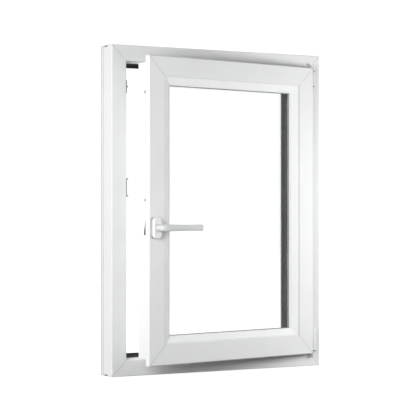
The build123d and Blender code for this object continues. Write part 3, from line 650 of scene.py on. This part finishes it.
def sash_ring(across, deep):
    """A rectangle carried round the sash's four sides with mitred corners. Across is its two ends
    from the sash's edge towards the glass, and deep its two ends from the room side."""
    across = np.array([across[0], across[1], across[1], across[0]])
    deep = np.array([deep[0], deep[0], deep[1], deep[1]])
    right = SASH_WIDTH / 2 - across
    bottom = SASH_INSET + across
    top = SASH_INSET + SASH_HEIGHT - across
    y = SASH_FRONT + deep
    corners = [(-right, y, bottom), (right, y, bottom), (right, y, top), (-right, y, top)]
    return swung(np.stack([np.stack(corner, -1) for corner in corners]))


front, back = MIDDLE_PANE
butyl = [sash_ring(BUTYL_ACROSS, (front - BUTYL_THICK, front - BUTYL_GAP)),
         sash_ring(BUTYL_ACROSS, (back + BUTYL_GAP, back + BUTYL_THICK))]
rim = sash_ring(RIM_ACROSS, RIM_DEEP)
surface("pane_rim_seal", rim, black_butyl, ring=True, smooth=False)
surface("butyl_seal", butyl, black_butyl, ring=True, smooth=False)


# Screws

SCREW_RADIUS = 0.0034

# In shares of the radius: the dome's rise, and the cross's half width, reach and depth
DOME_RISE = 0.09
CROSS_WIDTH = 0.2
CROSS_REACH = 0.72
CROSS_DEPTH = 0.3


def screw_heads(places, outward):
    """Countersunk heads with a cross recess. At radius r and angle t the height is a low dome less
    a recess, which is deep where the point is near either arm of the cross. Places are the middles
    of the heads, and outward is the way they face."""
    r = np.linspace(0.0, 1.0, 11)[:, None]
    t = round_angles(32)
    x, y = r * np.cos(t), r * np.sin(t)
    arm = np.clip(1 - np.minimum(np.abs(x), np.abs(y)) / CROSS_WIDTH, 0, 1)
    reach = np.clip((CROSS_REACH - r) / CROSS_WIDTH, 0, 1)
    height = DOME_RISE * (1 - r ** 2) - CROSS_DEPTH * np.clip(arm * reach * 1.6, 0, 1)
    outward = np.asarray(outward, float)
    first = np.cross(outward, (0, 0, 1) if abs(outward[2]) < 0.9 else (1, 0, 0))
    second = np.cross(outward, first)
    head = SCREW_RADIUS * (x[..., None] * first + y[..., None] * second + height[..., None] * outward)
    return [swung(head + np.asarray(place)) for place in places]


lock_edge = -SASH_WIDTH / 2 + HARDWARE_INSET
top_edge = SASH_INSET + SASH_HEIGHT - HARDWARE_INSET
bottom_edge = SASH_INSET + HARDWARE_INSET
lock_places = [(lock_edge, GROOVE_Y, z) for z in (0.20, 0.335, 0.45, 0.70, 0.80, 0.905)]
top_places = [(x, GROOVE_Y, top_edge) for x in (-0.21, -0.10, 0.30)]
bottom_places = [(x, GROOVE_Y, bottom_edge) for x in (-0.235, -0.10, -0.01)]
surface("lock_side_screws", screw_heads(lock_places, (-1, 0, 0)), plated)
surface("top_side_screws", screw_heads(top_places, (0, 0, 1)), plated)
surface("bottom_side_screws", screw_heads(bottom_places, (0, 0, -1)), plated)


# The place, the light and the camera

# Strength of the white surroundings, for each kind of ray and for the light that they give
BEHIND_GLASS = 1.12
IN_GLOSS = 0.45
IN_VIEW = 1.06
ON_SURFACES = 0.02


def pale_floor():
    """Floor that lifts itself to white for the camera, its reflections and what shows through glass,
    and still takes the window's shadow."""
    finish = Finish("pale_floor", Roughness=0.9)
    speck = finish.noise(finish.place, 4.0, 2.0)
    finish.feed("Base Color", finish.blend(speck, (0.17, 0.17, 0.17, 1), (0.19, 0.19, 0.19, 1)))
    direct, mirrored, through = finish.rays()
    x, y, _ = finish.parts(finish.place)
    away = (x * x + y * y) ** 0.5
    strength = (direct * (0.9 + away.ramp(0.9, 2.2) * 0.12)).most(through * BEHIND_GLASS)
    strength = strength.most(mirrored * IN_GLOSS)
    glow = finish.node("ShaderNodeEmission", None, {"Color": (1, 1, 1, 1), "Strength": strength})
    lit = Value(finish, finish.shader.outputs[0])
    total = finish.node("ShaderNodeAddShader", None, {0: glow, 1: lit})
    finish.put(finish.tree.nodes["Material Output"].inputs["Surface"], total)
    return finish.material


def soft_lamp(name, place, target, size, power, mirrored=True):
    """A square soft lamp at a place, facing a target. Where it isn't mirrored, gloss and glass
    don't show it."""
    light = bpy.data.lights.new(name, "AREA")
    light.size = size
    light.energy = power
    lamp = bpy.data.objects.new(name, light)
    bpy.context.scene.collection.objects.link(lamp)
    lamp.location = place
    away = np.array(place) - np.array(target)
    turn = math.atan2(away[0], -away[1])
    tip = math.atan2(math.hypot(away[0], away[1]), away[2])
    lamp.rotation_euler = (tip, 0, turn)
    lamp.visible_camera = False
    lamp.visible_glossy = mirrored
    lamp.visible_transmission = mirrored


# The floor reaches far behind the window, just under it
floor_x, floor_y = np.meshgrid(np.linspace(-9, 9, 7), np.linspace(-9, 30, 9))
spots = np.stack([floor_x, floor_y, np.full_like(floor_x, -0.0004)], -1)
index = np.arange(floor_x.size).reshape(floor_x.shape)
quads = np.stack([index[:-1, :-1], index[:-1, 1:], index[1:, 1:], index[1:, :-1]], -1)
mesh = bpy.data.meshes.new("floor")
mesh.from_pydata(spots.reshape(-1, 3).tolist(), [], quads.reshape(-1, 4).tolist())
mesh.materials.append(pale_floor())
sheet = bpy.data.objects.new("floor", mesh)
scene = bpy.context.scene
scene.collection.objects.link(sheet)

world = bpy.data.worlds.new("studio")
scene.world = world
world.use_nodes = True
sky = Nodes(world.node_tree)
background = sky.tree.nodes["Background"]
background.inputs["Color"].default_value = (1, 1, 1, 1)
direct, mirrored, through = sky.rays()
strength = (mirrored * IN_GLOSS).most(ON_SURFACES).most(direct * IN_VIEW).most(through * BEHIND_GLASS)
sky.put(background.inputs["Strength"], strength)

middle = (0.0, 0.0, 0.57)
soft_lamp("key_lamp", (-1.992, -1.671, 0.98), middle, 1.3, 51)
soft_lamp("side_lamp", (-3.2, -0.5, 0.6), middle, 1.6, 18)
soft_lamp("right_lamp", (1.25, -1.0, 0.62), (0.3, 0, 0.57), 0.6, 16.5, mirrored=False)
soft_lamp("high_lamp", (1.5, -1.7, 2.2), middle, 1.0, 2.5, mirrored=False)
soft_lamp("top_lamp", (0.2, 1.5, 2.6), middle, 1.2, 40, mirrored=False)
soft_lamp("back_lamp", (0.2, 3.0, 1.6), middle, 1.6, 40)
soft_lamp("back_left_lamp", (-2.6, 1.3, 0.7), middle, 1.2, 19, mirrored=False)
soft_lamp("hinge_side_lamp", (3.2, 0.8, 0.9), middle, 1.6, 30, mirrored=False)

# The camera as fitted to the photo: its turn, and in pixels its focal length and middle
YAW = math.radians(28.814)
FOCAL = 1505.285
IMAGE = 420
IMAGE_MIDDLE = 209.5
AXIS_ACROSS = 210.0
AXIS_DOWN = 210.933
scene.view_settings.view_transform = "Standard"
lens = bpy.data.cameras.new("camera")
lens.sensor_width = 36.0
lens.lens = FOCAL * lens.sensor_width / IMAGE
lens.shift_x = (IMAGE_MIDDLE - AXIS_ACROSS) / IMAGE
lens.shift_y = (AXIS_DOWN - IMAGE_MIDDLE) / IMAGE
lens.clip_end = 100.0
camera = bpy.data.objects.new("camera", lens)
scene.collection.objects.link(camera)
camera.location = (-2.596005, -4.698714, 0.564781)
camera.rotation_euler = (math.radians(90), 0, -YAW)
scene.camera = camera
